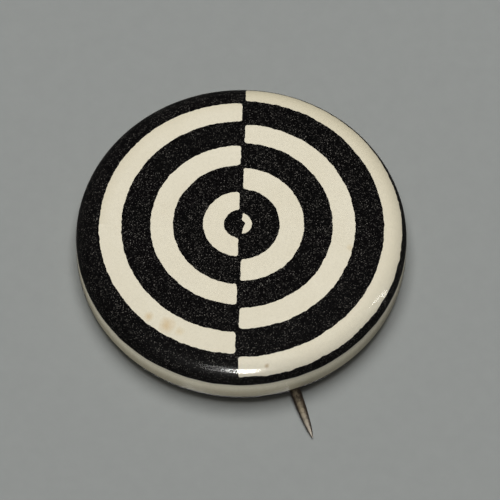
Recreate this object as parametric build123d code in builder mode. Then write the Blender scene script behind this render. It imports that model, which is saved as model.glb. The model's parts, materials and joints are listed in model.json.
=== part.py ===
"""Button badge with an open back: printed paper under a clear film, wrapped over a
stamped steel shell, held by a crimped collet ring, with a spring wire pin.

Millimetres. The badge's axis is +Z and its face looks up. Z = 0 is the plane that the
rim stands on. +Y runs along the straight divide between the two halves of the print.
"""
from build123d import *
from math import acos, atan2, cos, degrees, radians, sin, sqrt
import os

# ---- driving dimensions ----------------------------------------------------------
BADGE_DIA = 25.4             # a one inch badge
R = BADGE_DIA / 2
HEIGHT = 0.339 * R           # from the rim's lower edge to the middle of the face

# the face's curve: nearly flat, then a gentle fall, then the rounded shoulder
FLAT_R = 0.45 * R            # end of the nearly flat middle
FLAT_SLOPE = 1.5             # its slope there, degrees
SHOULDER_R = 0.885 * R       # where the shoulder's arc begins
SHOULDER_SLOPE = 9.0         # the face's slope there, degrees

# layers, from the outside in
FILM_T = 0.15
PAPER_T = 0.12
INK_T = 0.04                 # depth of the printed layer, part of the paper's thickness
SHELL_T = 0.27
COLLET_T = 0.25
TUCK_TOP = 1.85              # how high the film and paper are tucked inside the skirt

# printed pattern, with the rings' radii as shares of R
DIVIDE_GAP = 0.0186 * R      # black strip between the two halves' windows
PRINT_X = -0.0053 * R        # the print's centre: hand pressed, a little off the axis
PRINT_Y = 0.0019 * R
LEFT_SHIFT = -0.0051 * R     # the left half's circles are centred this far left of it
LEFT_RINGS = [(0.0937, 0.2186), (0.3998, 0.5358), (0.7094, 0.8447)]
RIGHT_RINGS = [(0.2360, 0.3822), (0.5547, 0.6890), (0.8626, 0.9726)]
WINDOW_CORNER = 0.15
DOT_R = 0.0705 * R           # half dot in the middle, on the right of the divide
DOT_NOTCH_R = 0.016 * R      # small bite out of the half dot's straight side
INK_FALL = 0.157 * R         # the ink ends this far below the middle of the face

# collet ring
COLLET_RECESS = 0.30         # its underside, above the rim's lower edge
COLLET_OPENING_R = 9.70      # inner edge of its flange
COLLET_CORNER_R = 0.75       # outside radius between its wall and its flange
LIP_R = 0.45                 # outside radius of the flange's turned up inner edge

# spring wire pin
WIRE_R = 0.45
RING_Z = 1.35                # height of the wire ring in the collet's channel
RING_GAP = 0.09              # between the wire ring and the collet's wall
RING_OPENING = 40.0          # angle left open between the ring's end and the bend
BEND_R = 1.80                # the bend from the ring into the shank
SHANK_TURN = 20.7            # the shank's turn from -Y towards +X, degrees
PIVOT_INSET = 0.30           # from the end of the bend to where the wire flexes
DIP_R = 14.0                 # gentle bend that sends the shank down under the rim
RIM_CLEARANCE = 0.15         # between the shank and the rim that it passes under
TIP_REACH = 1.2896 * R       # the point's distance from the badge's axis
GRIND_START = 9.30           # where the grinding begins, along the shank's line
BALL_GAP = 0.05              # between the shank's round end and the ring's cup

# ---- worked out from them --------------------------------------------------------
os.makedirs("parts", exist_ok=True)


def unit(slope):
    """Outward normal, in the R-Z half plane, of a surface with this slope in degrees."""
    return Vector(sin(radians(slope)), cos(radians(slope)))


# centres and radii of the three arcs that make the outer face
middle_r = FLAT_R / sin(radians(FLAT_SLOPE))
middle_c = Vector(0, HEIGHT - middle_r)
flat_end = middle_c + unit(FLAT_SLOPE) * middle_r
fall_r = (SHOULDER_R - FLAT_R) / (unit(SHOULDER_SLOPE).X - unit(FLAT_SLOPE).X)
fall_c = flat_end - unit(FLAT_SLOPE) * fall_r
fall_end = fall_c + unit(SHOULDER_SLOPE) * fall_r
shoulder_r = (R - SHOULDER_R) / (1 - unit(SHOULDER_SLOPE).X)
shoulder_c = fall_end - unit(SHOULDER_SLOPE) * shoulder_r

# the fold of paper and film round the shell's lower edge
fold_c = Vector(R - FILM_T - PAPER_T - SHELL_T / 2, FILM_T + PAPER_T + SHELL_T / 2)
shell_edge_r = SHELL_T / 2
paper_fold_r = shell_edge_r + PAPER_T
film_fold_r = paper_fold_r + FILM_T
collet_wall_r = fold_c.X - film_fold_r


def face_line(depth):
    """Adds the face's three arcs, this far below the outer surface, to a BuildLine.
    They run from the axis to the top of the straight wall."""
    CenterArc(middle_c, middle_r - depth, 90, -FLAT_SLOPE)
    CenterArc(fall_c, fall_r - depth, 90 - FLAT_SLOPE, FLAT_SLOPE - SHOULDER_SLOPE)
    CenterArc(shoulder_c, shoulder_r - depth, 90 - SHOULDER_SLOPE, SHOULDER_SLOPE - 90)


def wrapped_profile(outer_depth, inner_depth):
    """Adds the closed outline of a layer that covers the face and the wall and folds
    round the shell's edge, between two depths below the outer surface."""
    outer_fold = film_fold_r - outer_depth
    inner_fold = film_fold_r - inner_depth
    face_line(outer_depth)
    Line((R - outer_depth, shoulder_c.Y), (R - outer_depth, fold_c.Y))
    CenterArc(fold_c, outer_fold, 0, -180)
    Line((fold_c.X - outer_fold, fold_c.Y), (fold_c.X - outer_fold, TUCK_TOP))
    Line((fold_c.X - outer_fold, TUCK_TOP), (fold_c.X - inner_fold, TUCK_TOP))
    Line((fold_c.X - inner_fold, TUCK_TOP), (fold_c.X - inner_fold, fold_c.Y))
    CenterArc(fold_c, inner_fold, 180, 180)
    Line((R - inner_depth, fold_c.Y), (R - inner_depth, shoulder_c.Y))
    face_line(inner_depth)
    Line((0, HEIGHT - inner_depth), (0, HEIGHT - outer_depth))


# ---- clear film ------------------------------------------------------------------
with BuildPart() as clear_film:
    with BuildSketch(Plane.XZ):
        with BuildLine():
            wrapped_profile(0, FILM_T)
        make_face()
    revolve(axis=Axis.Z)

clear_film.part.label = "clear_film"
export_step(clear_film.part, "parts/clear_film.step")

# ---- black ink: one continuous print with half-ring windows left in it ------------
with BuildPart() as printed_ink:
    with BuildSketch(Plane.XZ):
        with BuildLine():
            face_line(FILM_T)
            face_line(FILM_T + INK_T)
            Line((0, HEIGHT - FILM_T - INK_T), (0, HEIGHT - FILM_T))
            Line((R - FILM_T - INK_T, shoulder_c.Y), (R - FILM_T, shoulder_c.Y))
        make_face()
    revolve(axis=Axis.Z)
    split(bisect_by=Plane.XY.offset(HEIGHT - INK_FALL), keep=Keep.TOP)
    with BuildSketch(Plane(origin=(PRINT_X, PRINT_Y, 0))):
        for side, shift, rings in ((-1, LEFT_SHIFT, LEFT_RINGS), (1, 0, RIGHT_RINGS)):
            for inner, outer in rings:
                with BuildSketch(mode=Mode.PRIVATE) as half_ring:
                    with Locations((shift, 0)):
                        Circle(outer * R)
                        Circle(inner * R, mode=Mode.SUBTRACT)
                    with Locations((side * (DIVIDE_GAP / 2 + R), 0)):
                        Rectangle(2 * R, 2 * R, mode=Mode.INTERSECT)
                    fillet(half_ring.vertices(), WINDOW_CORNER)
                add(half_ring.sketch)
        with BuildSketch(mode=Mode.PRIVATE) as half_dot:
            Circle(DOT_R)
            with Locations((DIVIDE_GAP / 2 + R, 0)):
                Rectangle(2 * R, 2 * R, mode=Mode.INTERSECT)
            fillet(half_dot.vertices(), WINDOW_CORNER)
            with Locations((DIVIDE_GAP / 2, 0)):
                Circle(DOT_NOTCH_R, mode=Mode.SUBTRACT)
        add(half_dot.sketch)
    extrude(amount=2 * HEIGHT, mode=Mode.SUBTRACT)

printed_ink.part.label = "printed_ink"
export_step(printed_ink.part, "parts/printed_ink.step")

# ---- paper, with the ink let into its face ----------------------------------------
with BuildPart() as printed_paper:
    with BuildSketch(Plane.XZ):
        with BuildLine():
            wrapped_profile(FILM_T, FILM_T + PAPER_T)
        make_face()
    revolve(axis=Axis.Z)
    add(printed_ink.part, mode=Mode.SUBTRACT)

printed_paper.part.label = "printed_paper"
export_step(printed_paper.part, "parts/printed_paper.step")

# ---- stamped shell ----------------------------------------------------------------
shell_outer = FILM_T + PAPER_T
shell_inner = shell_outer + SHELL_T

with BuildPart() as front_shell:
    with BuildSketch(Plane.XZ):
        with BuildLine():
            face_line(shell_outer)
            Line((R - shell_outer, shoulder_c.Y), (R - shell_outer, fold_c.Y))
            CenterArc(fold_c, shell_edge_r, 0, -180)
            Line((R - shell_inner, fold_c.Y), (R - shell_inner, shoulder_c.Y))
            face_line(shell_inner)
            Line((0, HEIGHT - shell_inner), (0, HEIGHT - shell_outer))
        make_face()
    revolve(axis=Axis.Z)

front_shell.part.label = "front_shell"
export_step(front_shell.part, "parts/front_shell.step")

# ---- collet ring: a wall against the tucked edges, a flange and a turned up lip ----
flange_z = COLLET_RECESS
corner_c = Vector(collet_wall_r - COLLET_CORNER_R, flange_z + COLLET_CORNER_R)
lip_c = Vector(COLLET_OPENING_R + LIP_R, flange_z + LIP_R)

with BuildPart() as collet_ring:
    with BuildSketch(Plane.XZ):
        with BuildLine():
            Line((collet_wall_r, TUCK_TOP), (collet_wall_r, corner_c.Y))
            CenterArc(corner_c, COLLET_CORNER_R, 0, -90)
            Line((corner_c.X, flange_z), (lip_c.X, flange_z))
            CenterArc(lip_c, LIP_R, 270, -90)
            Line((COLLET_OPENING_R, lip_c.Y), (COLLET_OPENING_R + COLLET_T, lip_c.Y))
            CenterArc(lip_c, LIP_R - COLLET_T, 180, 90)
            Line((lip_c.X, flange_z + COLLET_T), (corner_c.X, flange_z + COLLET_T))
            CenterArc(corner_c, COLLET_CORNER_R - COLLET_T, 270, 90)
            Line((collet_wall_r - COLLET_T, corner_c.Y), (collet_wall_r - COLLET_T, TUCK_TOP))
            Line((collet_wall_r - COLLET_T, TUCK_TOP), (collet_wall_r, TUCK_TOP))
        make_face()
    revolve(axis=Axis.Z)

collet_ring.part.label = "collet_ring"
export_step(collet_ring.part, "parts/collet_ring.step")

# ---- where the wire runs ------------------------------------------------------------
# Seen from above, the shank's line crosses the badge's axis and runs along `ahead`.
ahead = Vector(sin(radians(SHANK_TURN)), -cos(radians(SHANK_TURN)), 0)
across = Vector(cos(radians(SHANK_TURN)), sin(radians(SHANK_TURN)), 0)
# upright plane through that line: its x runs along `ahead` and its y is up
shank_plane = Plane(origin=(0, 0, 0), x_dir=ahead, z_dir=-across)

wire_ring_r = collet_wall_r - COLLET_T - RING_GAP - WIRE_R
bend_reach = wire_ring_r - BEND_R
bend_back = sqrt(bend_reach**2 - BEND_R**2)
bend_c = -ahead * bend_back - across * BEND_R
bend_angle = degrees(atan2(bend_c.Y, bend_c.X))
pivot_along = PIVOT_INSET - bend_back
pivot = shank_plane.from_local_coords((pivot_along, RING_Z))

# The dip arc's end tangent clears the fold at the rim: both are circles in shank_plane.
dip_c = Vector(pivot_along, RING_Z - DIP_R)
to_rim = fold_c - dip_c
tangent_reach = DIP_R + film_fold_r + RIM_CLEARANCE + WIRE_R
dip = degrees(atan2(to_rim.X, to_rim.Y) - acos(tangent_reach / to_rim.length))
straight_start = dip_c + unit(dip) * DIP_R
run = Vector(cos(radians(dip)), -sin(radians(dip)))
straight_len = (GRIND_START - straight_start.X) / run.X
full_len = (TIP_REACH - straight_start.X) / run.X


def beside(along, out):
    """The point this far along the straight shank and this far out from its line."""
    return straight_start + run * along + unit(dip) * out


# ---- pin ring: the wire's open ring, its bend, and a cup where it flexes -----------
with BuildPart() as pin_ring:
    with BuildLine(Plane.XY.offset(RING_Z)) as ring_path:
        Line(pivot, pivot - ahead * PIVOT_INSET)
        CenterArc((bend_c.X, bend_c.Y), BEND_R, SHANK_TURN, bend_angle - SHANK_TURN)
        CenterArc((0, 0), wire_ring_r, bend_angle, 360 - RING_OPENING)
    with BuildSketch(Plane(origin=pivot, z_dir=-ahead)):
        Circle(WIRE_R)
    sweep(path=ring_path.wire())
    with Locations(pivot):
        Sphere(WIRE_R + BALL_GAP, mode=Mode.SUBTRACT)

pin_ring.part.label = "pin_ring"
export_step(pin_ring.part, "parts/pin_ring.step")

# ---- pin shank: round end, gentle dip, straight wire and ground point --------------
with BuildPart() as pin_shank:
    with Locations(pivot):
        Sphere(WIRE_R)
    with BuildSketch(Plane(origin=pivot, z_dir=ahead)):
        Circle(WIRE_R)
    revolve(axis=Axis(shank_plane.from_local_coords(dip_c), across), revolution_arc=dip)
    with BuildSketch(shank_plane):
        with BuildLine():
            Line(beside(0, 0), beside(0, WIRE_R))
            Line(beside(0, WIRE_R), beside(straight_len, WIRE_R))
            Spline(
                beside(straight_len, WIRE_R),
                beside(full_len - 3.6, 0.94 * WIRE_R),
                beside(full_len - 2.2, 0.78 * WIRE_R),
                beside(full_len - 1.2, 0.58 * WIRE_R),
                beside(full_len - 0.5, 0.36 * WIRE_R),
                beside(full_len, 0.06 * WIRE_R),
            )
            Line(beside(full_len, 0.06 * WIRE_R), beside(full_len, 0))
            Line(beside(full_len, 0), beside(0, 0))
        make_face()
    shank_start = shank_plane.from_local_coords(straight_start)
    shank_end = shank_plane.from_local_coords(beside(full_len, 0))
    revolve(axis=Axis(shank_start, shank_end - shank_start))

pin_shank.part.label = "pin_shank"
export_step(pin_shank.part, "parts/pin_shank.step")

middle_of_straight = shank_plane.from_local_coords(beside(straight_len / 2, 0))
print("pivot", pivot, "turns about", across)
print("straight shank", round(straight_len, 3), "long, middle", middle_of_straight)
print("shank direction", (shank_end - shank_start).normalized(), "dip", round(dip, 3))
print("point", shank_end, "wire length past the pivot", round(full_len, 3))
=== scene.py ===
"""A one inch button badge: glossy film over a hand cut black print on cream paper, wrapped
on a domed shell, with a collet ring and a spring wire pin behind it."""

import json
import random
from math import atan2, ceil, cos, degrees, hypot, pi, radians, sin

import bmesh
import bpy
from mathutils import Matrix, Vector, noise
from mathutils.geometry import delaunay_2d_cdt


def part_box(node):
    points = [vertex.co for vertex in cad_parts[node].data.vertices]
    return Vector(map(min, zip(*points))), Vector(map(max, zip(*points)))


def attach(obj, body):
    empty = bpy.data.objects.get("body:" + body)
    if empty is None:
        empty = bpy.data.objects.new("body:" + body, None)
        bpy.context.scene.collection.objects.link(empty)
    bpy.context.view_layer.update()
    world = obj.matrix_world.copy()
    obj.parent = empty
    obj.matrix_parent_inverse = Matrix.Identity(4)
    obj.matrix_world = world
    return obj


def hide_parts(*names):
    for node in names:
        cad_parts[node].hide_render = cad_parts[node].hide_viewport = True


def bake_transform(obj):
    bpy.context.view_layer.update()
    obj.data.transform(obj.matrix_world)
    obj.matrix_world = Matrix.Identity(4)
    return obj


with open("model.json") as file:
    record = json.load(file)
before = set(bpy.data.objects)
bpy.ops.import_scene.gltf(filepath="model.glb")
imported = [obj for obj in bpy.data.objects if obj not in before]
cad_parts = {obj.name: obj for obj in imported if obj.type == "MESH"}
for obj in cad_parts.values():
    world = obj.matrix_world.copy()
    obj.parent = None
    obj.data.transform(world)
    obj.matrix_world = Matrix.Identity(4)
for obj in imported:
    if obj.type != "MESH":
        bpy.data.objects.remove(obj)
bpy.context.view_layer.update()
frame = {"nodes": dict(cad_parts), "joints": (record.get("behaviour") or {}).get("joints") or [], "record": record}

# ---- driving dimensions, from the frame -----------------------------------------------
MM = 0.001
film_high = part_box("clear_film")[1]
shell_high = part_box("front_shell")[1]
ink_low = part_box("printed_ink")[0]
collet_low, collet_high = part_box("collet_ring")
ring_low, ring_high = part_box("pin_ring")
R = film_high.x
HEIGHT = film_high.z
WRAP_T = HEIGHT - shell_high.z   # film and paper together
SHELL_T = 0.27 * MM
TUCK_TOP = collet_high.z         # how high the film and paper are tucked inside the skirt
TINY = 1e-9                      # metres; anything closer than this touches

# the collet ring
COLLET_T = 0.25 * MM
COLLET_CORNER_R = 0.75 * MM      # outside radius between its wall and its flange
COLLET_OPENING_R = 9.70 * MM     # inner edge of its flange
LIP_R = 0.45 * MM                # outside radius of the flange's turned up inner edge

# the face's curve: nearly flat, then a gentle fall, then the rounded shoulder
FLAT_R = 0.45 * R
FLAT_SLOPE = 1.5
SHOULDER_R = 0.885 * R
SHOULDER_SLOPE = 9.0

# the print, with the rings' radii as shares of R
PRINT_CENTRE = Vector((-0.0053 * R, 0.0019 * R))
DIVIDE_GAP = 0.0186 * R
LEFT_SHIFT = -0.0051 * R
LEFT_RINGS = [(0.0937, 0.2186), (0.3998, 0.5358), (0.7094, 0.8447)]
RIGHT_RINGS = [(0.2360, 0.3822), (0.5547, 0.6890), (0.8626, 0.9726)]
DOT_R = 0.0695 * R            # half dot in the middle, on the right of the divide
DOT_NICK = 0.023 * R          # depth of the nick in its straight side
NICK_OUTLINE = [(0, 0.9), (1, 0.3), (0, -2.2)]   # across and along that side, in nick depths
FILM_DRAWN = 0.035 * MM       # real film bends light and shows the print close to its skin
INK_DEPTH = 0.040 * MM        # from the outer surface to the print
INK_T = 0.02 * MM
CUT_STEP = 0.06 * MM          # spacing of the points along a cut edge
CUT_WOBBLE = 0.075 * MM       # how far a hand cut edge strays
CUT_WANDER = 1.3 * MM         # length of its widest waves
CUT_WAVES = ((1.0, 0.40), (2.9, 0.60), (7.3, 0.45))   # how much finer each is, and its share
RIM_WAVES = ((1.0, 1.0), (3.7, 0.5), (9.1, 0.4))      # the same for the print's outer edge
RIM_TURNS = 9                 # widest waves of the outer edge, to one radius along it
SEED_STEP = 3.7               # keeps the waves of one cut edge apart from the next one's
CUT_SEED = 7                  # never 0, which would take the seed from the clock
INK_MESH = 0.42 * MM          # spacing of the ink's inner points
SHOULDER_MESH = 0.15 * MM     # the same on the rounded shoulder, along its curve
SHOULDER_SPACING = 1.8 * SHOULDER_MESH   # and around it
SHOULDER_FROM = 0.96 * SHOULDER_R        # where the closer points begin
EDGE_CLEAR = 1.5 * SHOULDER_MESH         # the inner points keep this far from the edge
CORNER_PASSES = 16            # rounds of averaging that round the cut corners
DOT_PASSES = 3                # the same for the half dot

# the wire
WIRE_R = (ring_high.z - ring_low.z) / 2
RING_Z = (ring_low.z + ring_high.z) / 2
RING_R = ring_high.x - WIRE_R
RING_OPENING = 40.0           # angle left open between the ring's end and the bend
BEND_R = 1.80 * MM            # the bend from the ring into the shank
DIP_R = 14.0 * MM             # gentle bend that sends the shank down under the rim
# millimetres from the point, and the ground taper's width there as a share of the wire's
TIP_WIDTHS = [(7.0, 1.0), (3.6, 0.94), (2.2, 0.78), (1.2, 0.58), (0.5, 0.36), (0.0, 0.06)]
TAPER_PASSES = 4              # rounds of averaging that smooth the taper
DENT_SIZE = 0.5 * MM          # shallow unevenness along the wire
DENT_DEPTH = 0.012            # as a share of the wire's radius

# how finely the pieces are meshed
LATHE_SEGMENTS = 288
TUBE_SIDES = 28
WIRE_STEP = 0.12 * MM         # along the bend and the shank
RING_STEP = 0.4 * MM          # along the wire's ring
DIP_STEPS = 8
FLEX_STEPS = 3                # from the bend's end to the flexing point

# small folds where the film and paper turn under the rim
PLEAT_DEPTH = 0.05 * MM
PLEAT_WAVES = 6
PLEAT_COUNTS = (34, 96)       # fewest and most folds round the rim in one wave

# edges sharper than this angle aren't smoothed
CREASE = 50
INK_CREASE = 40
WIRE_CREASE = 60


def unit(slope):
    """Outward normal, in the R-Z half plane, of a surface with this slope in degrees."""
    return Vector((sin(radians(slope)), cos(radians(slope))))


middle_r = FLAT_R / sin(radians(FLAT_SLOPE))
middle_c = Vector((0, HEIGHT - middle_r))
flat_end = middle_c + unit(FLAT_SLOPE) * middle_r
fall_r = (SHOULDER_R - FLAT_R) / (unit(SHOULDER_SLOPE).x - unit(FLAT_SLOPE).x)
fall_c = flat_end - unit(FLAT_SLOPE) * fall_r
fall_end = fall_c + unit(SHOULDER_SLOPE) * fall_r
shoulder_r = (R - SHOULDER_R) / (1 - unit(SHOULDER_SLOPE).x)
shoulder_c = fall_end - unit(SHOULDER_SLOPE) * shoulder_r
fold_r = WRAP_T + SHELL_T / 2
fold_c = Vector((R - fold_r, fold_r))


# ---- the badge's skin: a line of points and outward normals from the axis to the tuck ---
def arc(centre, radius, start, end, steps):
    """Points and outward normals of an arc, given by the slopes of its two ends."""
    made = []
    for i in range(steps + 1):
        normal = unit(start + (end - start) * i / steps)
        made.append((centre + normal * radius, normal))
    return made


def skin_line():
    """Over the face and the shoulder, down the wall, round the fold and up to the tuck."""
    line = arc(middle_c, middle_r, 0, FLAT_SLOPE, steps=10)
    line += arc(fall_c, fall_r, FLAT_SLOPE, SHOULDER_SLOPE, steps=14)[1:]
    line += arc(shoulder_c, shoulder_r, SHOULDER_SLOPE, 90, steps=30)[1:]
    line.append((Vector((R, (shoulder_c.y + fold_c.y) / 2)), Vector((1, 0))))
    line += arc(fold_c, fold_r, 90, 270, steps=26)
    line.append((Vector((fold_c.x - fold_r, TUCK_TOP)), Vector((-1, 0))))
    return line


SKIN = skin_line()


def sunk(depth):
    """The skin's points moved this far in from the outer surface."""
    return [point - normal * depth for point, normal in SKIN]


# lengths along the skin at the print's depth, to unroll the face onto a plane
PRINT_LINE = sunk(INK_DEPTH)
PRINT_LENGTHS = [0.0]
for before, after in zip(PRINT_LINE, PRINT_LINE[1:]):
    PRINT_LENGTHS.append(PRINT_LENGTHS[-1] + (after - before).length)


def between(value, xs, ys):
    """The height at this value of x of a line through these points. Past the last point it
    runs straight on."""
    i = 1
    while value > xs[i] and i < len(xs) - 1:
        i += 1
    share = (value - xs[i - 1]) / (xs[i] - xs[i - 1])
    return ys[i - 1] + (ys[i] - ys[i - 1]) * share


def unrolled(flat):
    """A point seen from above, moved out to its length along the curved face."""
    radius = flat.length
    if radius < TINY:
        return Vector((0, 0))
    reach = [p.x for p in PRINT_LINE]
    return flat * (between(radius, reach, PRINT_LENGTHS) / radius)


# ---- mesh helpers -----------------------------------------------------------------------
def piece(name, mesh, body, node):
    """Links a finished mesh as a piece that stands for a CAD node. It rides on a body,
    except where body is None, which leaves it on none."""
    obj = bpy.data.objects.new(name, mesh)
    bpy.context.scene.collection.objects.link(obj)
    if body:
        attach(obj, body)
    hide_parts(node)
    return obj


def mesh_from(name, vertices, faces):
    """A smooth shaded mesh with its normals outward."""
    mesh = bpy.data.meshes.new(name)
    mesh.from_pydata(vertices, [], faces)
    mesh.validate()
    work = bmesh.new()
    work.from_mesh(mesh)
    bmesh.ops.recalc_face_normals(work, faces=work.faces)
    work.to_mesh(mesh)
    work.free()
    mesh.shade_smooth()
    return mesh


def lathe(name, outline, shape=None):
    """Turns a closed outline of (radius, z) points about the badge's axis. Points on the
    axis become single vertices. shape moves a point, given it and the turn it is at."""
    vertices, rings = [], []
    for point in outline:
        if point.x < TINY:
            rings.append([len(vertices)] * LATHE_SEGMENTS)
            vertices.append((0, 0, point.y))
            continue
        rings.append(list(range(len(vertices), len(vertices) + LATHE_SEGMENTS)))
        for i in range(LATHE_SEGMENTS):
            turn = 2 * pi * i / LATHE_SEGMENTS
            r, z = shape(point, turn) if shape else point
            vertices.append((r * cos(turn), r * sin(turn), z))
    faces = []
    pairs = list(zip(rings, rings[1:]))
    if outline[0].x > TINY:
        pairs.append((rings[-1], rings[0]))
    for low, high in pairs:
        for i in range(LATHE_SEGMENTS):
            j = (i + 1) % LATHE_SEGMENTS
            corners = []
            for v in (low[i], low[j], high[j], high[i]):
                if v not in corners:
                    corners.append(v)
            if len(corners) > 2:
                faces.append(corners)
    return mesh_from(name, vertices, faces)


def sharpen(mesh, angle):
    """Keeps edges that turn by more than this angle from being smoothed."""
    mesh.set_sharp_from_angle(angle=radians(angle))


# ---- node helper --------------------------------------------------------------------------
class Shader:
    """A material made of nodes. Each method places one node and returns its output."""

    def __init__(self, name):
        self.material = bpy.data.materials.new(name)
        self.material.use_nodes = True
        self.tree = self.material.node_tree
        self.tree.nodes.clear()
        self.object_place = self.add("TexCoord").outputs["Object"]

    def add(self, kind, settings=None, inputs=None):
        node = self.tree.nodes.new("ShaderNode" + kind)
        for key, value in (settings or {}).items():
            setattr(node, key, value)
        for key, value in (inputs or {}).items():
            if isinstance(value, bpy.types.NodeSocket):
                self.tree.links.new(value, node.inputs[key])
            else:
                node.inputs[key].default_value = value
        return node

    def math(self, operation, a, b=0.0):
        return self.add("Math", {"operation": operation}, {0: a, 1: b}).outputs[0]

    def noise(self, scale, detail=2.0, roughness=0.5, place=None, distortion=0.0):
        inputs = {
            "Vector": place or self.object_place,
            "Scale": scale,
            "Detail": detail,
            "Roughness": roughness,
            "Distortion": distortion,
        }
        return self.add("TexNoise", None, inputs).outputs["Fac"]

    def cells(self, scale):
        return self.add("TexVoronoi", None, {"Vector": self.object_place, "Scale": scale})

    def ramp(self, value, low, high, to_low=0.0, to_high=1.0):
        inputs = {"Value": value, "From Min": low, "From Max": high, "To Min": to_low}
        inputs["To Max"] = to_high
        return self.add("MapRange", {"clamp": True}, inputs).outputs["Result"]

    def mix(self, share, a, b, blend="MIX"):
        node = self.add("Mix", {"data_type": "RGBA", "blend_type": blend}, {0: share})
        for index, value in ((6, a), (7, b)):
            if isinstance(value, bpy.types.NodeSocket):
                self.tree.links.new(value, node.inputs[index])
            else:
                node.inputs[index].default_value = (*value, 1.0)
        return node.outputs[2]

    def stretched(self, x, y, z):
        """Object coordinates scaled on each axis."""
        settings = {"operation": "MULTIPLY"}
        return self.add("VectorMath", settings, {0: self.object_place, 1: (x, y, z)}).outputs[0]

    def split(self):
        return self.add("SeparateXYZ", None, {"Vector": self.object_place}).outputs

    def bump(self, height, distance):
        inputs = {"Height": height, "Distance": distance, "Strength": 1.0}
        return self.add("Bump", None, inputs).outputs["Normal"]

    def principled(self, **inputs):
        named = {key.replace("_", " "): value for key, value in inputs.items()}
        return self.add("BsdfPrincipled", None, named).outputs["BSDF"]

    def finish(self, surface):
        self.add("OutputMaterial", None, {"Surface": surface})
        return self.material


# ---- materials ------------------------------------------------------------------------------
FILM_GLOSS = 0.04             # share of light that the film reflects head on
FILM_GRAZING = 0.35           # the same at a grazing angle
FILM_WORN = 0.35              # what handling has left of the gloss in the dullest specks

# each layer of specks: cells to the metre, a speck's size, how rare they are, and strength
SPECK_LAYERS = (
    (12400, 0.40, 0.68, 0.9),
    (8600, 0.33, 0.77, 1.2),
    (4800, 0.20, 0.80, 1.4),
)
SPECK_COLOUR = (0.245, 0.232, 0.216)
INK_DEEP = (0.0006, 0.0005, 0.0006)
INK_THIN = (0.0026, 0.0023, 0.0025)

CREAM_DULL = (0.745, 0.700, 0.575)
CREAM_CLEAN = (0.775, 0.735, 0.615)
CREAM_FIBRE = (0.70, 0.655, 0.52)
CREAM_AGED_AND_SHADED = (0.64, 0.59, 0.45)      # near the face's edge, on the side away from the point: browned with age, and darker as painted shade
RIM_DULL = (0.68, 0.62, 0.46)
RIM_CLEAN = (0.78, 0.73, 0.57)
RIM_FOOT_SOIL_AND_SHADE = (0.34, 0.31, 0.225)       # darker at the wall's foot: some soiling, and painted shade near the floor
RIM_PAINTED_HIGHLIGHT = (0.93, 0.89, 0.74)         # painted highlight, just below the print's outer edge
RIM_FOOT_SOIL_AND_SHADE_FADE = (0.45 * MM, 1.70 * MM)
RIM_PAINTED_HIGHLIGHT_FADE = (1.05 * MM, 1.85 * MM)
AGED_AND_SHADED_FROM = 55                       # fully browned and shaded from this angle on, in degrees from +X
AGED_AND_SHADED_FADE = 110                      # the angle before that over which it comes in

RUST = (0.16, 0.075, 0.035)

SHEEN_SIDE = (-0.28, -0.11, 0.95)     # painted sheen: the wire is lightest where its normal faces this side and its opposite
OXIDE_DARK = (0.022, 0.015, 0.010)
OXIDE_BROWN = (0.085, 0.060, 0.040)
OXIDE_FLAKE = (0.030, 0.020, 0.014)
WIRE_SHEEN = (0.56, 0.475, 0.335)
WIRE_GROUND = (0.66, 0.60, 0.52)
OXIDE_FADE = (2.3 * MM, 3.3 * MM)    # distances from the point
GROUND_FADE = (0.4 * MM, 2.4 * MM)

FLOOR_TONES = ((0.268, 0.281, 0.277), (0.296, 0.310, 0.306))
FLOOR_PAINTED_SHADOW = (0.070, 0.073, 0.072)  # painted contact shadow, right under the badge
FLOOR_PAINTED_SHADOW_FADE = (0.950 * R, 0.990 * R)


def film_material():
    """Clear glossy film: seen through, with a mirror-like skin and faint handling marks."""
    s = Shader("clear_film_gloss")
    grain = s.noise(9000, 2.0)
    relief = s.math("ADD", s.noise(700, 3.0), s.math("MULTIPLY", grain, 0.12))
    normal = s.bump(relief, 0.004 * MM)
    gloss = s.add("BsdfGlossy", None, {
        "Color": (1.0, 1.0, 1.0, 1.0),
        "Roughness": s.ramp(grain, 0.3, 0.7, 0.10, 0.16),
        "Normal": normal,
    }).outputs[0]
    clear = s.add("BsdfTransparent", None, {"Color": (1.0, 0.998, 0.992, 1.0)}).outputs[0]
    facing = s.add("LayerWeight", None, {"Blend": 0.5, "Normal": normal}).outputs["Facing"]
    grazing = s.ramp(s.math("POWER", facing, 5.0), 0.0, 1.0, FILM_GLOSS, FILM_GRAZING)
    sheen_and_wear = s.ramp(s.noise(4800, 2.0), 0.40, 0.60, FILM_WORN, 1.0)
    outer_face = s.math("SUBTRACT", 1.0, s.add("NewGeometry").outputs["Backfacing"])
    share = s.math("MULTIPLY", s.math("MULTIPLY", grazing, sheen_and_wear), outer_face)
    mixed = s.add("MixShader", None, {0: share, 1: clear, 2: gloss}).outputs[0]
    return s.finish(mixed)


def ink_material():
    """Black print with fine light specks where the ink missed the paper's fibres."""
    s = Shader("black_print")
    dense = s.ramp(s.noise(900, 2.0), 0.3, 0.7, 0.55, 1.0)
    specks = 0.0
    for scale, size, rare, strength in SPECK_LAYERS:
        cell = s.cells(scale)
        chance = s.add("SeparateColor", None, {"Color": cell.outputs["Color"]}).outputs[0]
        shown = s.ramp(chance, rare, 1.0, 0.0, strength)
        dot = s.ramp(cell.outputs["Distance"], size * 0.3, size * 1.2, 1.0, 0.0)
        specks = s.math("MAXIMUM", specks, s.math("MULTIPLY", shown, dot))
    specks = s.math("MULTIPLY", specks, dense)
    mottle = s.mix(s.noise(2600, 4.0, 0.7), INK_DEEP, INK_THIN)
    colour = s.mix(specks, mottle, SPECK_COLOUR)
    normal = s.bump(s.noise(5000, 3.0), 0.003 * MM)
    shader = s.principled(
        Base_Color=colour, Roughness=s.ramp(specks, 0, 1, 0.42, 0.7), Normal=normal,
        Specular_IOR_Level=0.08,
    )
    return s.finish(shader)


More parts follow.
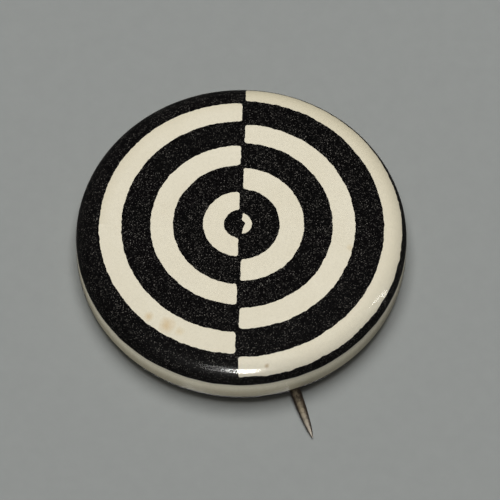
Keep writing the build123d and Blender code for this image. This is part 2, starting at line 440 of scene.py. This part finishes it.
def paper_material():
    """Aged cream paper: mottled, stained in a few spots, and browned with age and darkened by painted
    shade along part of its edge. Its wall is faintly streaked up and down, with a painted highlight
    at the top, and darker at the foot by painted shade and some soiling."""
    s = Shader("cream_paper")
    x, y, z = s.split()
    cloud = s.noise(260, 3.0)
    fibre = s.noise(4200, 4.0, 0.65)
    base = s.mix(s.ramp(cloud, 0.35, 0.65), CREAM_DULL, CREAM_CLEAN)
    base = s.mix(s.ramp(fibre, 0.3, 0.7, 0.0, 0.35), base, CREAM_FIBRE)
    turn = s.math("ARCTAN2", y, x)
    around = s.add("CombineXYZ", None, {
        0: s.math("MULTIPLY", s.math("COSINE", turn), R),
        1: s.math("MULTIPLY", s.math("SINE", turn), R),
        2: s.math("MULTIPLY", z, 0.35),
    }).outputs[0]
    streak = s.noise(2600, 4.0, 0.6, place=around)
    on_rim = s.ramp(z, shoulder_c.y + 0.35 * MM, shoulder_c.y - 0.2 * MM)
    from_axis = s.add("VectorMath", {"operation": "LENGTH"}, {0: s.object_place})
    # the far side's edge: browned with age, and darkened there as painted shade
    far_side = s.ramp(s.math("SUBTRACT", turn, radians(AGED_AND_SHADED_FROM)), radians(-AGED_AND_SHADED_FADE), 0.0)
    aged_and_shaded = s.math("MULTIPLY", s.ramp(from_axis.outputs["Value"], 0.84 * R, 0.97 * R), far_side)
    base = s.mix(aged_and_shaded, base, CREAM_AGED_AND_SHADED)
    rim = s.mix(s.ramp(streak, 0.30, 0.70), RIM_DULL, RIM_CLEAN)
    # darker towards the wall's foot: painted shade near the floor, with some soiling
    rim = s.mix(s.ramp(z, *RIM_FOOT_SOIL_AND_SHADE_FADE, 0.80, 0.0), rim, RIM_FOOT_SOIL_AND_SHADE)
    # painted highlight along the top of the wall
    rim = s.mix(s.ramp(z, *RIM_PAINTED_HIGHLIGHT_FADE, 0.0, 0.8), rim, RIM_PAINTED_HIGHLIGHT)
    colour = s.mix(on_rim, base, rim)
    for place, size, tint, depth in STAINS:
        gap = s.add("VectorMath", {"operation": "DISTANCE"}, {0: s.object_place, 1: place})
        ragged = s.math("ADD", gap.outputs["Value"], s.math("MULTIPLY", s.noise(1500, 3.0), size))
        spot = s.ramp(ragged, 0.6 * size, 1.5 * size, depth, 0.0)
        colour = s.mix(spot, colour, tint, "MULTIPLY")
    normal = s.bump(s.math("ADD", fibre, s.math("MULTIPLY", on_rim, streak)), 0.004 * MM)
    shader = s.principled(Base_Color=colour, Roughness=0.75, Normal=normal, Specular_IOR_Level=0.2)
    return s.finish(shader)


def tinplate_material(name, bright, dull, scale):
    """Rolled tin plate: fine lines one way, soft blotches, and a few rust freckles."""
    s = Shader(name)
    lines = s.noise(scale, 3.0, 0.6, place=s.stretched(0.04, 1.0, 1.0))
    blotch = s.noise(420, 4.0, 0.6)
    fine = s.ramp(s.noise(1300, 4.0, 0.7), 0.62, 0.72)
    freckle = s.math("MULTIPLY", fine, s.ramp(blotch, 0.5, 0.6))
    metal = s.mix(s.ramp(blotch, 0.35, 0.65), bright, dull)
    metal = s.mix(s.ramp(lines, 0.3, 0.7, 0.0, 0.3), metal, dull)
    colour = s.mix(freckle, metal, RUST)
    shader = s.principled(
        Base_Color=colour, Metallic=s.ramp(freckle, 0, 1, 0.75, 0.1),
        Roughness=s.ramp(lines, 0.3, 0.7, 0.26, 0.42),
        Normal=s.bump(s.math("ADD", lines, freckle), 0.003 * MM),
    )
    return s.finish(shader)


def wire_material():
    """Oxidised spring steel: brown black at its sides, and lighter along its top and underside by a
    painted sheen. It is bright at the ground point, where the painted sheen also falls, and dark
    with flakes further back."""
    s = Shader("oxidised_wire")
    patch = s.noise(3200, 5.0, 0.65, distortion=0.4)
    pit = s.noise(6500, 3.0, 0.6)
    # painted sheen: lighter where the wire's normal lies along one side, either way, with random patches
    facing = s.add("VectorMath", {"operation": "DOT_PRODUCT"}, {
        0: s.add("TexCoord").outputs["Normal"], 1: SHEEN_SIDE,
    }).outputs["Value"]
    sheen_and_wear = s.math("ADD", s.math("ABSOLUTE", facing), s.ramp(patch, 0.35, 0.65, -0.13, 0.10))
    to_tip = s.add("VectorMath", {"operation": "DISTANCE"}, {0: s.object_place, 1: tuple(tip)})
    oxide = s.ramp(to_tip.outputs["Value"], *OXIDE_FADE)
    sheen_share = s.math("MULTIPLY", s.ramp(sheen_and_wear, 0.70, 1.08), s.ramp(oxide, 0.0, 1.0, 1.0, 0.24))
    ground = s.ramp(to_tip.outputs["Value"], *GROUND_FADE, 0.75, 0.0)
    brown = s.mix(s.ramp(pit, 0.35, 0.65), OXIDE_DARK, OXIDE_BROWN)
    colour = s.mix(sheen_share, brown, WIRE_SHEEN)
    # the ground steel at the point shows where the painted sheen falls
    colour = s.mix(s.math("MULTIPLY", ground, s.ramp(sheen_and_wear, 0.5, 0.9)), colour, WIRE_GROUND)
    flakes = s.math("MULTIPLY", s.ramp(s.noise(4600, 3.0, 0.6), 0.46, 0.58, 0.0, 0.85), oxide)
    colour = s.mix(flakes, colour, OXIDE_FLAKE)
    shader = s.principled(
        Base_Color=colour, Metallic=0.45, Roughness=s.ramp(patch, 0.4, 0.7, 0.44, 0.30),
        Normal=s.bump(pit, 0.008 * MM),
    )
    return s.finish(shader)


def floor_material():
    """Plain pale floor, with a painted contact shadow right under the badge. Its underside is
    clear, so the badge can be seen from below."""
    s = Shader("pale_floor")
    tone = s.mix(s.noise(900, 4.0, 0.6), *FLOOR_TONES)
    from_axis = s.add("VectorMath", {"operation": "LENGTH"}, {0: s.object_place})
    # painted contact shadow: the floor is darkened right under the badge's rim
    painted_shadow = s.ramp(from_axis.outputs["Value"], *FLOOR_PAINTED_SHADOW_FADE, 1.0, 0.0)
    tone = s.mix(painted_shadow, tone, FLOOR_PAINTED_SHADOW)
    solid = s.principled(Base_Color=tone, Roughness=0.8, Specular_IOR_Level=0.2)
    clear = s.add("BsdfTransparent").outputs[0]
    back = s.add("NewGeometry").outputs["Backfacing"]
    return s.finish(s.add("MixShader", None, {0: back, 1: solid, 2: clear}).outputs[0])


def on_face(share_x, share_y):
    """The point of the print's surface over these shares of R."""
    flat = Vector((share_x * R, share_y * R))
    reach = [p.x for p in PRINT_LINE]
    return (flat.x, flat.y, between(flat.length, reach, [p.y for p in PRINT_LINE]))


# place, size, tint and strength of each stain in the paper
STAINS = [
    (on_face(-0.535, -0.612), 0.45 * MM, (0.84, 0.70, 0.52), 0.80),
    (on_face(-0.424, -0.666), 0.80 * MM, (0.83, 0.66, 0.45), 0.75),
    (on_face(-0.350, -0.705), 0.45 * MM, (0.90, 0.80, 0.63), 0.60),
    (on_face(0.653, -0.132), 0.35 * MM, (0.88, 0.80, 0.67), 0.6),
    (on_face(0.175, -0.909), 0.22 * MM, (0.62, 0.50, 0.36), 0.8),
]


# ---- film and paper, wrapped round the rim in small pleats -------------------------------------
def pleats():
    """Makes a function that moves a point up or down by small folds. They are deepest under
    the rim, and there are none on the wall or where the skin meets the collet."""
    chance = random.Random(7)
    waves = [
        (chance.randint(*PLEAT_COUNTS), chance.uniform(0, 2 * pi)) for _ in range(PLEAT_WAVES)
    ]

    def shape(point, turn):
        drop = max(0.0, fold_c.y - point.y) / fold_r
        inward = max(0.0, min(1.0, (R - point.x) / fold_r))
        ripple = sum(sin(count * turn + phase) for count, phase in waves) / len(waves)
        return Vector((point.x, point.y + PLEAT_DEPTH * drop * inward * ripple))

    return shape


def skin_layer(name, outer_depth, inner_depth, node, material):
    """A layer of the wrapped skin, between two depths below the outer surface."""
    outline = sunk(outer_depth) + sunk(inner_depth)[::-1]
    obj = piece(name, lathe(name, outline, pleats()), "badge", node)
    sharpen(obj.data, CREASE)
    obj.data.materials.append(material)


# ---- the black print: one sheet of ink with hand cut half rings in it ---------------------------
def softened(points, passes):
    """A closed outline with its corners rounded by repeated averaging."""
    for _ in range(passes):
        count = len(points)
        points = [
            points[i] * 0.5 + (points[i - 1] + points[(i + 1) % count]) * 0.25
            for i in range(count)
        ]
    return points


def stepped(corners):
    """Points at an even spacing along a closed chain of straight runs."""
    made = []
    for a, b in zip(corners, corners[1:] + corners[:1]):
        steps = max(1, ceil((b - a).length / CUT_STEP))
        made += [a + (b - a) * i / steps for i in range(steps)]
    return made


def arc_points(radius, start, end):
    """Points of an arc about the origin, by angle in radians."""
    steps = max(8, ceil(radius * abs(end - start) / CUT_STEP))
    return [
        Vector((radius * cos(start + (end - start) * i / steps),
                radius * sin(start + (end - start) * i / steps)))
        for i in range(steps + 1)
    ]


def wobbled(points, seed):
    """An outline that strays a little from its line, as a knife cut does."""
    offset = Vector((0, 0, seed * SEED_STEP))
    made = []
    for point in points:
        spot = Vector((point.x, point.y, 0)) / CUT_WANDER + offset
        stray = Vector((0, 0))
        for finer, share in CUT_WAVES:
            stray += noise.noise_vector(spot * finer).xy * share
        made.append(point + stray * CUT_WOBBLE)
    return made


def half_ring(side, inner, outer, shift):
    """Outline of a half ring beside the divide, on the left for side -1."""
    edge = DIVIDE_GAP / 2
    reach = []
    for radius in (outer, inner):
        from_axis = edge - side * shift
        reach.append(pi / 2 - from_axis / radius)
    outline = arc_points(outer, -reach[0], reach[0]) + arc_points(inner, reach[1], -reach[1])
    placed = [Vector((side * p.x + shift, p.y)) for p in outline]
    return stepped(placed)


def half_dot():
    """The small half dot in the middle, with a nick in its straight side."""
    edge = DIVIDE_GAP / 2
    reach = pi / 2 - edge / DOT_R
    nick = [Vector((edge + DOT_NICK * x, DOT_NICK * y)) for x, y in NICK_OUTLINE]
    return stepped(arc_points(DOT_R, -reach, reach) + nick)


def windows():
    """Outlines of the openings in the print, on the unrolled face. The half dot is last."""
    noise.seed_set(CUT_SEED)   # noise_vector differs from run to run without it
    made = []
    for side, shift, rings in ((-1, LEFT_SHIFT, LEFT_RINGS), (1, 0.0, RIGHT_RINGS)):
        for inner, outer in rings:
            made.append(half_ring(side, inner * R, outer * R, shift))
    made.append(half_dot())
    cut = []
    for seed, outline in enumerate(made):
        passes = CORNER_PASSES if seed < len(made) - 1 else DOT_PASSES
        soft = wobbled(softened(outline, passes), seed)
        cut.append([unrolled(p + PRINT_CENTRE) for p in soft])
    return cut


def inside(point, outline):
    """True if a point is within a closed outline, by counting crossings."""
    crossed = False
    last = outline[-1]
    for here in outline:
        if (here.y > point.y) != (last.y > point.y):
            share = (point.y - here.y) / (last.y - here.y)
            if point.x < here.x + share * (last.x - here.x):
                crossed = not crossed
        last = here
    return crossed


def ink_edge_length():
    """How far the ink reaches along the skin: to the height where the CAD ink ends."""
    heights = [-p.y for p in PRINT_LINE]
    return between(-ink_low.z, heights, PRINT_LENGTHS)


def print_edge(reach):
    """The print's ragged outer edge on the unrolled face."""
    steps = ceil(2 * pi * reach / (2 * CUT_STEP))
    edge = []
    for i in range(steps):
        turn = 2 * pi * i / steps
        spot = Vector((cos(turn), sin(turn), 0.1)) * RIM_TURNS
        stray = sum(share * noise.noise(spot * finer) for finer, share in RIM_WAVES)
        edge.append(Vector((cos(turn), sin(turn))) * (reach + stray * CUT_WOBBLE))
    return edge


def inner_points(reach):
    """Rings of points that fill the print, closer together on the rounded shoulder."""
    points = []
    radius, rings = 0.0, 0
    while radius < reach - EDGE_CLEAR:
        on_shoulder = radius > SHOULDER_FROM
        radius += SHOULDER_MESH if on_shoulder else INK_MESH
        rings += 1
        spacing = SHOULDER_SPACING if on_shoulder else INK_MESH
        count = max(6, round(2 * pi * radius / spacing))
        for i in range(count):
            turn = 2 * pi * (i + 0.5 * (rings % 2)) / count
            points.append(Vector((radius * cos(turn), radius * sin(turn))))
    return points


def outside_holes(triangles, flat, holes, reach):
    """The triangles whose middles lie on the print and in none of its openings."""
    boxes = [
        (min(p.x for p in h), max(p.x for p in h), min(p.y for p in h), max(p.y for p in h))
        for h in holes
    ]
    kept = []
    for triangle in triangles:
        middle = sum((flat[v] for v in triangle), Vector((0, 0))) / 3
        if middle.length > reach + CUT_WOBBLE:
            continue
        held = False
        for hole, (x0, x1, y0, y1) in zip(holes, boxes):
            if x0 <= middle.x <= x1 and y0 <= middle.y <= y1 and inside(middle, hole):
                held = True
                break
        if not held:
            kept.append(triangle)
    return kept


def ink_mesh():
    """The print as a thin closed sheet: cut out on the unrolled face, then laid back on it."""
    reach = ink_edge_length()
    outlines = [print_edge(reach)] + windows()
    points, edges = [], []
    for outline in outlines:
        first = len(points)
        points += outline
        edges += [(first + i, first + (i + 1) % len(outline)) for i in range(len(outline))]
    points += inner_points(reach)
    flat, _, triangles, *_ = delaunay_2d_cdt(points, edges, [], 0, TINY)
    kept = outside_holes(triangles, flat, outlines[1:], reach)
    vertices = []
    for line in (sunk(INK_DEPTH), sunk(INK_DEPTH + INK_T)):
        across, heights = [p.x for p in line], [p.y for p in line]
        for p in flat:
            r = between(p.length, PRINT_LENGTHS, across)
            z = between(p.length, PRINT_LENGTHS, heights)
            turn = atan2(p.y, p.x)
            vertices.append((r * cos(turn), r * sin(turn), z))
    count = len(flat)
    faces = [list(t) for t in kept] + [[v + count for v in reversed(t)] for t in kept]
    # an edge that no second triangle shares is a border, and gets a wall
    used = {}
    for t in kept:
        for a, b in zip(t, t[1:] + t[:1]):
            used[(a, b)] = True
    for a, b in used:
        if (b, a) not in used:
            faces.append([b, a, a + count, b + count])
    return mesh_from("printed_ink_sheet", vertices, faces)


# ---- collet ring and shell -----------------------------------------------------------------------
def shell_outline():
    """The stamped shell: under the film and paper, as far as its rounded lower edge."""
    outer = [(p, n) for p, n in SKIN if p.y >= fold_c.y - TINY and n.x >= 0]
    down = [p - n * WRAP_T for p, n in outer]
    edge = [p for p, _ in arc(fold_c, SHELL_T / 2, 90, 270, steps=10)][1:-1]
    up = [p - n * (WRAP_T + SHELL_T) for p, n in reversed(outer)]
    return down + edge + up


def collet_outline():
    """A wall against the tucked edges, a flange and a turned up lip, of one thickness."""
    wall = fold_c.x - fold_r
    low = collet_low.z
    corner_c = Vector((wall - COLLET_CORNER_R, low + COLLET_CORNER_R))
    lip_c = Vector((COLLET_OPENING_R + LIP_R, low + LIP_R))
    bends = (
        arc(corner_c, COLLET_CORNER_R, 90, 180, steps=12)
        + arc(lip_c, LIP_R, 180, 270, steps=10)
        + arc(lip_c, LIP_R - COLLET_T, 270, 180, steps=8)
        + arc(corner_c, COLLET_CORNER_R - COLLET_T, 180, 90, steps=8)
    )
    line = [Vector((wall, TUCK_TOP))] + [point for point, _ in bends]
    return line + [Vector((wall - COLLET_T, TUCK_TOP))]


# ---- the spring wire -------------------------------------------------------------------------------
def tube(name, path, radii):
    """A round tube along a path, with a radius for each point and flat ends."""
    rings, vertices, faces = [], [], []
    tangent = (path[1] - path[0]).normalized()
    out = tangent.orthogonal().normalized()
    for i, point in enumerate(path):
        ahead = (path[min(i + 1, len(path) - 1)] - path[max(i - 1, 0)]).normalized()
        out = (tangent.rotation_difference(ahead) @ out).normalized()
        tangent = ahead
        side = tangent.cross(out)
        rings.append(len(vertices))
        for k in range(TUBE_SIDES):
            turn = 2 * pi * k / TUBE_SIDES
            spoke = out * cos(turn) + side * sin(turn)
            dent = noise.noise(point / DENT_SIZE + spoke) * DENT_DEPTH
            vertices.append(point + spoke * radii[i] * (1 + dent))
    for low, high in zip(rings, rings[1:]):
        for k in range(TUBE_SIDES):
            j = (k + 1) % TUBE_SIDES
            faces.append([low + k, low + j, high + j, high + k])
    faces.append(list(range(rings[0] + TUBE_SIDES - 1, rings[0] - 1, -1)))
    faces.append(list(range(rings[-1], rings[-1] + TUBE_SIDES)))
    mesh = mesh_from(name, vertices, faces)
    sharpen(mesh, WIRE_CREASE)
    return mesh


# the flexing point, the shank's direction and its point, from the record and the CAD wire
pin_joint = next(j for j in frame["joints"] if j["name"] == "pin_flex")
pivot = Vector(pin_joint["pos_m"])
across = Vector(pin_joint["axis"]).normalized()
ahead = Vector((across.y, -across.x, 0))
pin_mount = next(m for m in frame["record"]["mounts"] if m["name"] == "cloth_pin")
run = Vector(pin_mount["axis"]).normalized()
dip = degrees(atan2(-run.z, hypot(run.x, run.y)))
tip = max((v.co for v in frame["nodes"]["pin_shank"].data.vertices), key=lambda c: c.dot(ahead))


def bend_centre():
    """Middle of the bend, which runs smoothly into the ring and the shank."""
    reach = RING_R - BEND_R
    along = -((reach**2 - BEND_R**2) ** 0.5)
    return ahead * along - across * BEND_R + Vector((0, 0, RING_Z))


def flat_arc(centre, radius, start, end, step):
    """Points of a level arc about a centre, by angle in radians."""
    count = max(4, ceil(abs(end - start) * radius / step))
    return [
        centre + Vector((cos(start + (end - start) * i / count),
                         sin(start + (end - start) * i / count), 0)) * radius
        for i in range(count + 1)
    ]


def wire_ring_path():
    """From the bend's end by the shank, round the bend, and along the open ring."""
    centre = bend_centre()
    bend_turn = atan2(centre.y, centre.x)
    if bend_turn < 0:
        bend_turn += 2 * pi
    start = atan2(across.y, across.x)
    hub = Vector((0, 0, RING_Z))
    end = bend_turn + radians(360 - RING_OPENING)
    path = flat_arc(centre, BEND_R, start, bend_turn, WIRE_STEP)
    path += flat_arc(hub, RING_R, bend_turn, end, RING_STEP)[1:]
    return path


def wire_shank_path():
    """From the bend's end, down the gentle dip, and straight on to the point."""
    centre = bend_centre()
    start = centre + across * BEND_R
    flex = (pivot - start).length
    path = [start + ahead * flex * i / FLEX_STEPS for i in range(FLEX_STEPS + 1)]
    dip_c = pivot - Vector((0, 0, DIP_R))
    for i in range(1, DIP_STEPS + 1):
        turn = radians(dip) * i / DIP_STEPS
        path.append(dip_c + ahead * DIP_R * sin(turn) + Vector((0, 0, DIP_R * cos(turn))))
    length = (tip - path[-1]).dot(run)
    straight_start = path[-1]
    count = ceil(length / WIRE_STEP)
    path += [straight_start + run * length * i / count for i in range(1, count + 1)]
    return path


def shank_radii(path):
    """Full wire, then the ground taper that ends in the point."""
    xs = [-distance * MM for distance, _ in TIP_WIDTHS]
    ys = [share * WIRE_R for _, share in TIP_WIDTHS]
    radii = []
    for point in path:
        from_tip = -(path[-1] - point).length
        radii.append(WIRE_R if from_tip <= xs[0] else between(from_tip, xs, ys))
    for _ in range(TAPER_PASSES):
        radii = [radii[0]] + [
            (radii[i - 1] + 2 * radii[i] + radii[i + 1]) / 4 for i in range(1, len(radii) - 1)
        ] + [radii[-1]]
    return radii


# ---- build ---------------------------------------------------------------------------------------
skin_layer("film_cover", 0, FILM_DRAWN, "clear_film", film_material())
skin_layer(
    "paper_cover", INK_DEPTH + INK_T, WRAP_T, "printed_paper",
    paper_material(),
)
ink = piece("ink_print", ink_mesh(), "badge", "printed_ink")
sharpen(ink.data, INK_CREASE)
ink.data.materials.append(ink_material())

shell = piece("tinplate_shell", lathe("shell", shell_outline()), "badge", "front_shell")
sharpen(shell.data, CREASE)
shell.data.materials.append(
    tinplate_material("tinplate_inside", (0.74, 0.73, 0.70), (0.55, 0.54, 0.51), 7000))
collet = piece("collet", lathe("collet", collet_outline()), "badge", "collet_ring")
sharpen(collet.data, CREASE)
collet.data.materials.append(
    tinplate_material("tinplate_collet", (0.70, 0.68, 0.64), (0.49, 0.47, 0.43), 5200))

steel = wire_material()
ring_path = wire_ring_path()
wire_ring = piece(
    "spring_wire_ring", tube("wire_ring", ring_path, [WIRE_R] * len(ring_path)),
    "wire_ring", "pin_ring",
)
wire_ring.data.materials.append(steel)
shank_path = wire_shank_path()
wire_shank = piece(
    "spring_wire_shank", tube("wire_shank", shank_path, shank_radii(shank_path)),
    None, "pin_shank",
)
wire_shank.data.materials.append(steel)
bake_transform(wire_shank)

# ---- floor: touches the rim opposite the pin, and the pin ------------------------------------------
rest_point = -ahead * fold_c.x
shank_points = [v.co for v in frame["nodes"]["pin_shank"].data.vertices]
floor_slope = max(-p.z / (p - rest_point).dot(ahead) for p in shank_points)
FLOOR_SIZE = 2.0              # metres
FLOOR_STEPS = 8
downhill = (ahead - Vector((0, 0, floor_slope))).normalized()
floor_points = [
    rest_point + downhill * (FLOOR_SIZE * (i / FLOOR_STEPS - 0.5))
    + across * (FLOOR_SIZE * (j / FLOOR_STEPS - 0.5))
    for i in range(FLOOR_STEPS + 1) for j in range(FLOOR_STEPS + 1)
]
row = FLOOR_STEPS + 1
floor_faces = [
    [i * row + j, (i + 1) * row + j, (i + 1) * row + j + 1, i * row + j + 1]
    for i in range(FLOOR_STEPS) for j in range(FLOOR_STEPS)
]
floor_mesh = bpy.data.meshes.new("floor")
floor_mesh.from_pydata(floor_points, [], floor_faces)
floor = bpy.data.objects.new("floor", floor_mesh)
bpy.context.scene.collection.objects.link(floor)
floor.data.materials.append(floor_material())

# ---- camera ------------------------------------------------------------------------------------------
VIEW_ELEVATION = 63.08
VIEW_AZIMUTH = 1.46
VIEW_DISTANCE = 25 * R
FRAME_WIDTH = 2.9956 * R      # what the picture spans at the face
AIM_RIGHT = 0.0522 * R        # the picture's middle, from the middle of the face
AIM_UP = -0.1576 * R
SENSOR = 36

a, e = radians(VIEW_AZIMUTH), radians(VIEW_ELEVATION)
forward = Vector((-sin(a) * cos(e), cos(a) * cos(e), -sin(e)))
right = Vector((cos(a), sin(a), 0))
up = right.cross(forward)
camera_data = bpy.data.cameras.new("camera")
camera_data.sensor_width = SENSOR
camera_data.lens = camera_data.sensor_width * VIEW_DISTANCE / FRAME_WIDTH
camera_data.clip_start = 0.01
camera_data.clip_end = 5
camera = bpy.data.objects.new("camera", camera_data)
bpy.context.scene.collection.objects.link(camera)
aim = Vector((0, 0, HEIGHT)) + right * AIM_RIGHT + up * AIM_UP
camera.location = aim - forward * VIEW_DISTANCE
camera.rotation_mode = "QUATERNION"
camera.rotation_quaternion = forward.to_track_quat("-Z", "Y")
bpy.context.scene.camera = camera


# ---- soft studio light ------------------------------------------------------------------------------
def lamp(name, azimuth, elevation, distance, width, height, power, colour):
    """A soft rectangular lamp that points at the badge. Azimuth 0 is +X, 90 is +Y."""
    data = bpy.data.lights.new(name, "AREA")
    data.shape = "RECTANGLE"
    data.size, data.size_y = width, height
    data.energy = power
    data.color = colour
    obj = bpy.data.objects.new(name, data)
    bpy.context.scene.collection.objects.link(obj)
    t, f = radians(azimuth), radians(elevation)
    towards = Vector((cos(t) * cos(f), sin(t) * cos(f), sin(f)))
    obj.location = towards * distance
    obj.rotation_mode = "QUATERNION"
    obj.rotation_quaternion = (-towards).to_track_quat("-Z", "Y")
    obj.visible_camera = False
    return obj


WHITE = (1.0, 0.99, 0.97)
SOFT_DISTANCE = 0.60
GLINT_DISTANCE = 0.45

# soft light on the face and on the rim's side, kept out of reflections
for name, azimuth, elevation, width, height, power in (
    ("overhead", 88, 84, 0.34, 0.34, 3.70),
    ("bounce", -116, -42, 0.40, 0.40, 1.12),
):
    soft = lamp(name, azimuth, elevation, SOFT_DISTANCE, width, height, power, WHITE)
    soft.visible_glossy = False

# highlights, which show only in glossy surfaces
for name, azimuth, elevation, width, height, power in (
    ("window", -86.5, 41, 0.085, 0.150, 1.60),
    ("window_edge", -94.5, 43, 0.060, 0.100, 0.16),
    ("glow", -101, 46, 0.11, 0.20, 0.12),
    ("side_window", -1, 22, 0.022, 0.34, 0.33),
):
    highlight = lamp(name, azimuth, elevation, GLINT_DISTANCE, width, height, power, WHITE)
    highlight.visible_diffuse = False

# The floor casts no shadow, so that bounce reaches the rim's side, and this lamp the back.
# It doesn't show in reflections, which keeps the black shoulder black.
lamp("from_below", -90, -84, SOFT_DISTANCE, 0.34, 0.34, 0.75, WHITE)
floor.visible_shadow = False
floor.visible_glossy = False

WORLD_STRENGTH = 0.045
world = bpy.data.worlds.new("studio")
world.use_nodes = True
world.node_tree.nodes["Background"].inputs["Color"].default_value = (1.0, 1.0, 1.0, 1.0)
world.node_tree.nodes["Background"].inputs["Strength"].default_value = WORLD_STRENGTH
bpy.context.scene.world = world
bpy.context.scene.view_settings.view_transform = "Standard"
